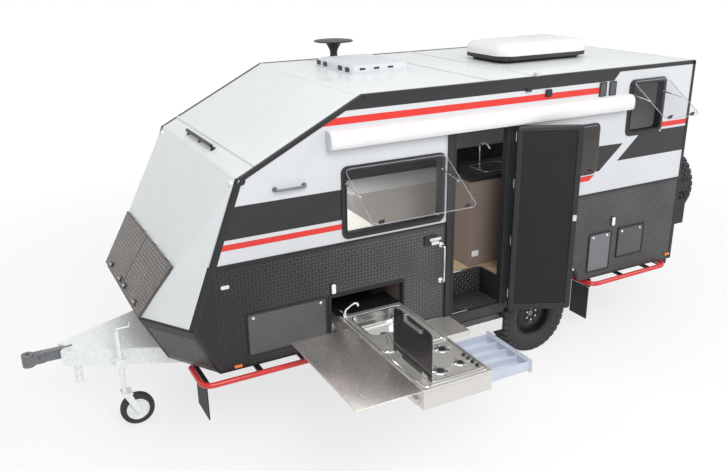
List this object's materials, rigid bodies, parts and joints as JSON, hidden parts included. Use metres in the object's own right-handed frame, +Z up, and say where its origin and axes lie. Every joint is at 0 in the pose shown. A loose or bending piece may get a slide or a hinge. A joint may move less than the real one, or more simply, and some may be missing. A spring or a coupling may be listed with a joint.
{
  "type": "off-road camper trailer",
  "caption": "Towable off-road camper with a hard cabin on road wheels, a wedge nose with boot doors, an A-frame drawbar and a kitchen slid out of its side.",
  "frame": {"origin": "on the ground under the middle of the whole parked trailer, kitchen out, so the body centreline is at y = +0.638 m and the axle at x = +1.2975 m", "axes": "+X to the rear of the trailer, -Y to its door side, +Z up"},
  "size_m": [6.889, 3.754, 3.06],
  "materials": {
    "white_panel": "smooth gloss composite panel",
    "silver_panel": "smooth gloss composite panel",
    "dark_checker": "black checker plate",
    "grey_panel": "satin dark grey",
    "frame_steel": "light silver",
    "black_steel": "satin black",
    "red_steel": "gloss red",
    "stainless": "brushed",
    "chrome": "polished",
    "tinted_glass": "tinted acrylic",
    "black_glass": "black glass",
    "tyre_rubber": "tread rubber",
    "rubber": "flap rubber",
    "white_plastic": "fine grained",
    "black_plastic": "fine grained",
    "tray_plastic": "pale blue",
    "oak": "wood-grain laminate",
    "floor_oak": "wood-grain floor",
    "linen": "woven cotton",
    "lamp_lens": "moulded lens"
  },
  "bodies": {
    "trailer": {"upper_wall_near": "silver_panel", "upper_wall_far": "silver_panel", "lower_wall_near": "dark_checker", "lower_wall_far": "dark_checker", "roof_panel": "white_panel", "front_slope": "white_panel", "rear_wall": "white_panel", "nose_upper": "white_panel", "nose_lower": "dark_checker", "storage_floor": "grey_panel", "cabin_floor": "floor_oak", "furniture": "oak", "bedding": "linen", "door_surround": "black_steel", "window_frames": "black_plastic", "window_panes": "tinted_glass", "service_hatches": "grey_panel", "hinges": "black_steel", "kitchen_box": "stainless", "kitchen_top": "stainless", "chassis_rail_near": "frame_steel", "chassis_rail_far": "frame_steel", "cross_members": "black_steel", "drawbar_cover": "frame_steel", "coupling_head": "black_steel", "safety_chains": "stainless", "jockey_stand": "frame_steel", "suspension": "black_steel", "spare_tyre": "tyre_rubber", "spare_rim": "black_steel", "spare_carrier": "black_steel", "lamps": "lamp_lens", "awning_cassette": "white_plastic", "air_conditioner": "white_plastic", "roof_hatch": "white_plastic", "tv_antenna": "white_plastic", "side_rails": "red_steel", "skirt_brackets": "grey_panel", "mud_flaps": "rubber", "wall_fittings": "chrome"},
    "wheel_near": {"wheel_near_rim": "black_steel", "wheel_near_tyre": "tyre_rubber"},
    "wheel_far": {"wheel_far_rim": "black_steel", "wheel_far_tyre": "tyre_rubber"},
    "jockey_swivel": {"jockey_fork": "frame_steel"},
    "jockey_wheel": {"jockey_rim": "frame_steel", "jockey_tyre": "tyre_rubber"},
    "entry_door": {"entry_door": "black_steel", "screen_door": "black_steel"},
    "boot_door_near": {"boot_door_near": "dark_checker"},
    "boot_door_far": {"boot_door_far": "dark_checker"},
    "side_shelf": {"side_shelf": "stainless"},
    "hob_lid": {"hob_lid": "black_glass"},
    "cutlery_drawer": {"cutlery_drawer": "tray_plastic"},
    "rear_hatch": {"rear_hatch": "grey_panel"}
  },
  "joints": [
    {"name": "wheel_near_spin", "type": "hinge", "parent": "trailer", "child": "wheel_near", "pos_m": [1.2975, -0.326, 0.4], "axis": [0, 1, 0], "continuous": true},
    {"name": "wheel_far_spin", "type": "hinge", "parent": "trailer", "child": "wheel_far", "pos_m": [1.2975, 1.602, 0.4], "axis": [0, 1, 0], "continuous": true},
    {"name": "jockey_turn", "type": "hinge", "parent": "trailer", "child": "jockey_swivel", "pos_m": [-2.6925, 0.238, 0.6], "axis": [0, 0, 1], "continuous": true},
    {"name": "jockey_spin", "type": "hinge", "parent": "jockey_swivel", "child": "jockey_wheel", "pos_m": [-2.6025, 0.238, 0.15], "axis": [0, 1, 0], "continuous": true},
    {"name": "entry_door_swing", "type": "hinge", "parent": "trailer", "child": "entry_door", "pos_m": [0.8355, -0.558, 1.5], "axis": [0, 0, 1], "range_deg": [-154, 0]},
    {"name": "boot_door_near_lift", "type": "hinge", "parent": "trailer", "child": "boot_door_near", "pos_m": [-2.25205, 0.238, 1.5823], "axis": [0, 1, 0], "range_deg": [0, 80]},
    {"name": "boot_door_far_lift", "type": "hinge", "parent": "trailer", "child": "boot_door_far", "pos_m": [-2.25205, 1.038, 1.5823], "axis": [0, 1, 0], "range_deg": [0, 80]},
    {"name": "side_shelf_fold", "type": "hinge", "parent": "trailer", "child": "side_shelf", "pos_m": [-0.9545, -1.262, 0.972], "axis": [0, 1, 0], "range_deg": [0, 180]},
    {"name": "hob_lid_fold", "type": "hinge", "parent": "trailer", "child": "hob_lid", "pos_m": [-0.8575, -1.552, 0.965], "axis": [0, 1, 0], "range_deg": [0, 90]},
    {"name": "cutlery_drawer_slide", "type": "slide", "parent": "trailer", "child": "cutlery_drawer", "axis": [-1, 0, 0], "range_m": [0, 0.38]},
    {"name": "rear_hatch_drop", "type": "hinge", "parent": "trailer", "child": "rear_hatch", "pos_m": [2.4705, -0.511, 0.868], "axis": [1, 0, 0], "range_deg": [0, 90]}
  ],
  "couplings": [
    {"joint": "hob_lid_fold", "follows": "side_shelf_fold", "ratio": 0.5}
  ]
}
